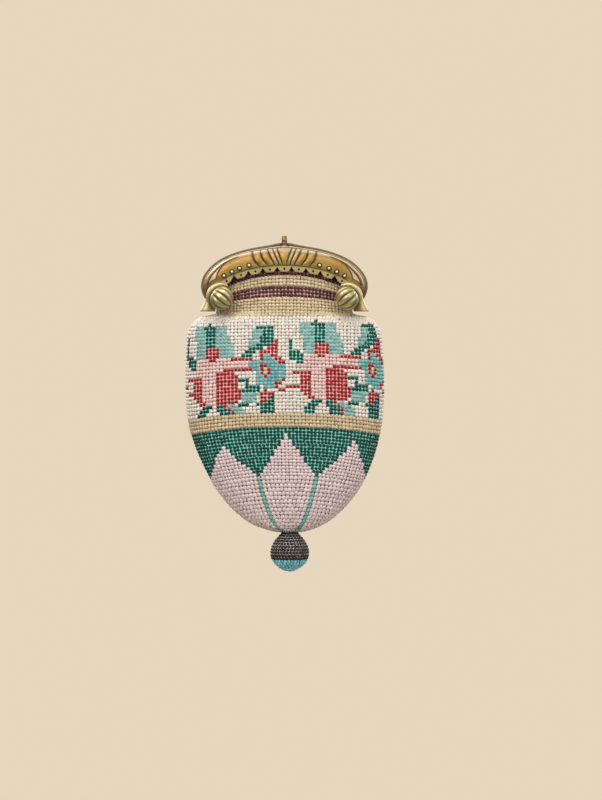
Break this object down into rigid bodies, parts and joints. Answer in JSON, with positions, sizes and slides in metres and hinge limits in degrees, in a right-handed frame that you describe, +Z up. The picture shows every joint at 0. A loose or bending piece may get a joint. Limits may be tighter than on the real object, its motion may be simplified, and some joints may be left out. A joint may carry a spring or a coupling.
{
  "type": "beaded frame purse",
  "caption": "Bead-knitted pouch purse gathered into an arched gilt hinged frame with ribbed bud knobs, a push catch on top and a bead-covered ball hanging at the foot.",
  "frame": {"origin": "top of the frame's back rim, on the middle plane, where the catch stands and the purse is held up", "axes": "+Z up, +X to the right seen from the front, the front faces -Y"},
  "size_m": [0.0974, 0.0314, 0.1641],
  "materials": {
    "gilt_frame": "polished gilt, worn to olive brown in the hollows",
    "gilt_knob": "dull gilt with dark grooves",
    "brass_pin": "plain drawn brass",
    "brass_catch": "brown gilt",
    "beadwork": "glass seed beads knitted on thread, in bands of maroon, cream, white with a figured repeat, green and pink",
    "ball_beadwork": "glass seed beads over a stuffed core, near black above and turquoise below"
  },
  "bodies": {
    "purse": {"frame_front": "gilt_frame", "frame_back": "gilt_frame", "knob_front_left": "gilt_knob", "knob_front_right": "gilt_knob", "knob_back_left": "gilt_knob", "knob_back_right": "gilt_knob", "hinge_pin_left": "brass_pin", "hinge_pin_right": "brass_pin", "bag": "beadwork", "bead_ball": "ball_beadwork"},
    "catch": {"catch_plunger": "brass_catch"}
  },
  "joints": [
    {"name": "catch_press", "type": "slide", "parent": "purse", "child": "catch", "axis": [0, 0, -1], "range_m": [0, 0.002], "stiffness_N_per_m": 200}
  ]
}
